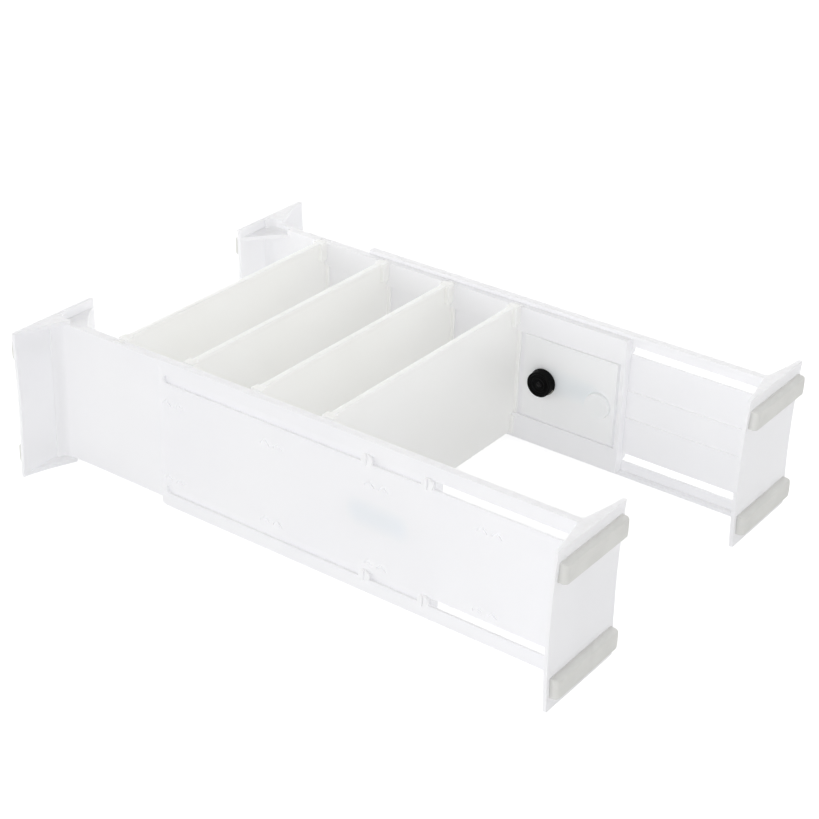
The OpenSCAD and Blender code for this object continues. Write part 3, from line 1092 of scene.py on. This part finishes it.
@dataclass
class Studio:
    """A pale floor, soft light and the camera."""

    azimuth: float = 35.179
    elevation: float = 28.28
    roll: float = 2.025
    distance: float = 1.20903
    aim_offset: Point = (-5.279 * MM, 12.348 * MM, 0.0)
    lens: float = 85.32
    floor_half_size: float = 6.0
    sky_front: float = 1.25
    sky_right: float = 0.57
    sky_rest: float = 1.7
    sky_zenith: float = 0.1
    softbox_offset: Point = (0.3, 0.2, 1.8)
    softbox_size: float = 1.2
    softbox_power: float = 4.8
    floor_bounce: float = 0.04
    floor_white: float = 0.5

    def build(self) -> None:
        """Builds the floor, the lights and the camera."""
        self._floor()
        self._sky()
        low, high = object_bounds()
        middle = (low + high) / 2
        self._softbox("top_softbox", middle + Vector(self.softbox_offset), middle, self.softbox_size,
                      self.softbox_power)
        self._camera(middle)

    def _floor(self) -> None:
        """A wide, very pale floor, which the camera sees as white as a lit backdrop."""
        half = self.floor_half_size
        drop = -0.02 * MM
        floor = build_mesh("studio_floor", [(-half, -half, drop), (half, -half, drop), (half, half, drop),
                                            (-half, half, drop)], [(0, 1, 2, 3)], smooth=False)
        paint, sketch, shader = new_material("pale floor")
        place = sketch.add("ShaderNodeTexCoord").outputs["Object"]
        mottle = sketch.remap(sketch.noise(place, 3.0), 0.3, 0.7)
        colour = sketch.blend(mottle, (0.9, 0.9, 0.9, 1.0), (0.92, 0.92, 0.92, 1.0))
        seen = sketch.add("ShaderNodeLightPath").outputs["Is Camera Ray"]
        glow = sketch.remap(seen, 0.0, 1.0, self.floor_bounce, self.floor_white)
        sketch.feed(shader, Base_Color=colour, Roughness=0.9, Emission_Color=(1.0, 1.0, 1.0, 1.0),
                    Emission_Strength=glow)
        dress(floor, paint)
        floor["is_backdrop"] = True

    def _sky(self) -> None:
        """Soft white light from all round, weakest from the right and overhead, where the softbox hangs."""
        world = bpy.data.worlds.new("white surround")
        bpy.context.scene.world = world
        world.use_nodes = True
        sketch = Sketch(world.node_tree)
        background = world.node_tree.nodes["Background"]
        place = sketch.add("ShaderNodeTexCoord").outputs["Generated"]
        parts = sketch.add("ShaderNodeSeparateXYZ")
        sketch.join(place, parts.inputs[0])
        colour: object = rgba((self.sky_rest,) * 3)
        for axis, edge, full, level in (("X", 0.3, 0.95, self.sky_right), ("Y", -0.3, -0.95, self.sky_front),
                                        ("Z", 0.35, 0.95, self.sky_zenith)):
            share = sketch.remap(parts.outputs[axis], edge, full)
            colour = sketch.blend(share, colour, rgba((level,) * 3))
        sketch.join(colour, background.inputs["Color"])

    @staticmethod
    def _softbox(name: str, place: Vector, aim: Vector, size: float, power: float) -> None:
        """Adds a square soft light.

        Args:
            name: The light's name.
            place: Where it hangs.
            aim: What it points at.
            size: The length of its sides.
            power: Its power in watts.
        """
        light = bpy.data.lights.new(name, "AREA")
        light.size = size
        light.energy = power
        lamp = bpy.data.objects.new(name, light)
        lamp.location = place
        lamp.rotation_mode = "QUATERNION"
        lamp.rotation_quaternion = (aim - place).to_track_quat("-Z", "Y")
        bpy.context.scene.collection.objects.link(lamp)

    def _camera(self, middle: Vector) -> None:
        """Adds the camera.

        Args:
            middle: The middle of the insert.
        """
        turn, rise = math.radians(self.azimuth), math.radians(self.elevation)
        back = Vector((math.sin(turn) * math.cos(rise), -math.cos(turn) * math.cos(rise), math.sin(rise)))
        lens = bpy.data.cameras.new("camera")
        lens.lens = self.lens
        lens.sensor_width = 36.0
        lens.clip_end = 50.0
        camera = bpy.data.objects.new("camera", lens)
        camera.location = middle + Vector(self.aim_offset) + back * self.distance
        camera.rotation_mode = "QUATERNION"
        lean = Quaternion((0, 0, 1), math.radians(self.roll))
        camera.rotation_quaternion = (-back).to_track_quat("-Z", "Y") @ lean
        bpy.context.scene.collection.objects.link(camera)
        bpy.context.scene.camera = camera


def make_paints(effects: EffectLibrary) -> dict[str, bpy.types.Material]:
    """Makes every material.

    Args:
        effects: The shared effects.

    Returns:
        The materials by the record's slot names, and the painted glint's.
    """
    low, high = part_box("front_lock_cover")
    knob_low, knob_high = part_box("front_lock_knob")
    knob_x = (knob_low.x + knob_high.x) / 2
    button_low, button_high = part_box("front_release_button")
    button_x = (button_low.x + button_high.x) / 2
    mid_z = (low.z + high.z) / 2
    # painted shade: a blue-grey tinted area on the panel and cover over the lock mechanism, standing for its
    # shadow seen through the thin wall
    link = Patch(centre=((knob_x + button_x) / 2, 0.0, mid_z + 2 * MM), half_width=20 * MM,
                 half_height=7 * MM, softness=7 * MM, tint=(0.66, 0.75, 0.8), strength=0.3)
    white = WhitePlastic("white panel plastic", (0.9, 0.9, 0.915), (0.885, 0.885, 0.905), (0.95, 0.95, 0.97),
                         patches=(link,))
    finishes = {
        "panel_plastic": white,
        "divider_plastic": WhitePlastic("white divider plastic", (0.915, 0.915, 0.9), (0.9, 0.9, 0.88),
                                        (0.95, 0.95, 0.96), roughness=0.36, subsurface=0.6,
                                        scatter_depth=3.0 * MM),
        "cover_plastic": WhitePlastic("white cover plastic", (0.9, 0.905, 0.91), (0.885, 0.89, 0.895),
                                      (0.95, 0.95, 0.97), roughness=0.48, patches=(link,)),
        "stud_plastic": WhitePlastic("white stud plastic", (0.9, 0.9, 0.91), (0.885, 0.885, 0.895),
                                     (0.92, 0.92, 0.93), cloud_scale=90.0),
        "button_plastic": WhitePlastic("white button plastic", (0.89, 0.9, 0.905), (0.875, 0.885, 0.89),
                                       (0.93, 0.93, 0.95), cloud_scale=60.0, roughness=0.34),
        "knob_plastic": GrainedPlastic("black knob plastic", (0.004, 0.004, 0.004), (0.008, 0.008, 0.009),
                                       (0.02, 0.02, 0.02), roughness=0.5, grain_scale=3000.0,
                                       grain_height=0.01 * MM, specular=0.05),
        # painted glint: pale sliver on the knob's flange where light catches it
        "painted_glint": GrainedPlastic("pale index plastic", (0.55, 0.54, 0.45), (0.6, 0.6, 0.5),
                                     (0.7, 0.7, 0.62), roughness=0.45, grain_height=0.005 * MM),
        "grip_rubber": GrainedPlastic("pale grip rubber", (0.84, 0.84, 0.81), (0.88, 0.88, 0.85),
                                      (0.9, 0.9, 0.88), roughness=0.72, specular=0.3, sheen=0.08),
        "brake_plastic": GrainedPlastic("grey brake plastic", (0.16, 0.17, 0.19), (0.2, 0.21, 0.23),
                                        (0.28, 0.29, 0.3), roughness=0.55),
        "screw_steel": TurnedSteel("blackened screw steel", (0.04, 0.04, 0.04), (0.02, 0.02, 0.02), 0.5,
                                   centre=(knob_x, 0.0, mid_z)),
        "spring_steel": TurnedSteel("drawn spring steel", (0.5, 0.5, 0.52), (0.35, 0.35, 0.37), 0.3),
    }
    return {slot: finish.material(effects) for slot, finish in finishes.items()}


def main() -> None:
    """Builds the looks in order: materials, dividers, then the studio."""
    logging.basicConfig(level=logging.INFO, format="%(message)s")
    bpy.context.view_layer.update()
    paints = make_paints(EffectLibrary())
    for side in Side:
        LongDivider(side).build(paints)
    CrossDividers().build(paints["divider_plastic"])
    Studio().build()
    bpy.context.scene.view_settings.view_transform = "Standard"


if __name__ == "__main__":
    main()
